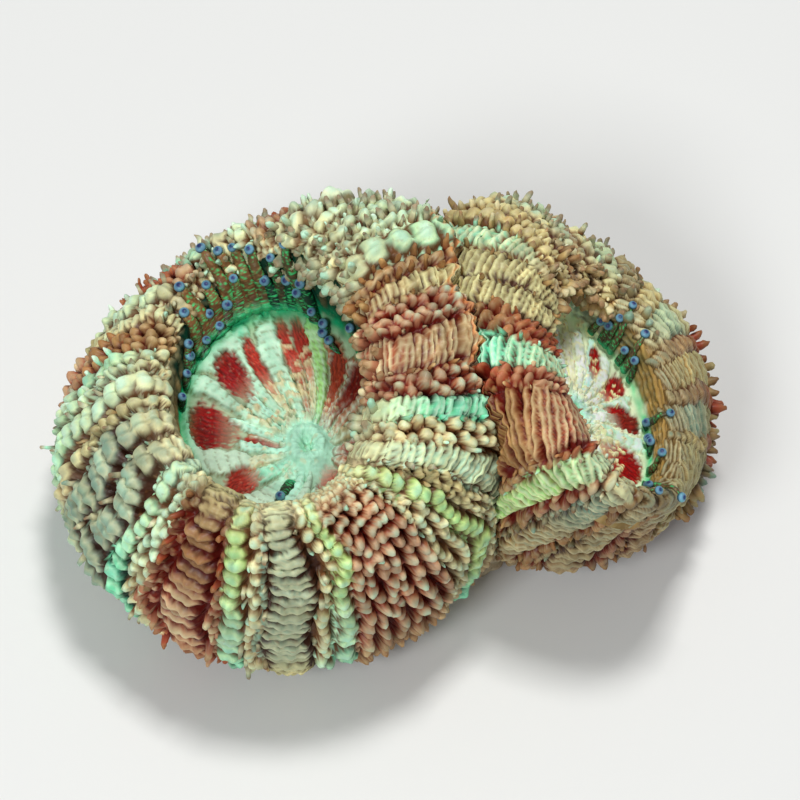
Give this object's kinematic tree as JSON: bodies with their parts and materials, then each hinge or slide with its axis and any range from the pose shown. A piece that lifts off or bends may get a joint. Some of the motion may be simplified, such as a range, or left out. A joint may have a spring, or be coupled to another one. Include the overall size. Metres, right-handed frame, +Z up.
{
  "type": "acan coral",
  "caption": "Low fleshy stony coral colony: swollen, ridged and beaded polyps pressed together at a seam, each with a sunken striped mouth disc and short tentacles, cut flat at the base.",
  "frame": {"origin": "centre of the colony's bounding box, at the level of the flat cut base", "axes": "+X from the large polyp towards the small one, +Y away from the viewer of the front, +Z up"},
  "size_m": [0.046, 0.0332, 0.0241],
  "materials": {
    "flesh": "wet mottled flesh",
    "skeleton": "rough porous stony skeleton"
  },
  "bodies": {
    "root": {"skeleton_foot": "skeleton", "large_polyp": "flesh", "small_polyp": "flesh"}
  },
  "joints": []
}
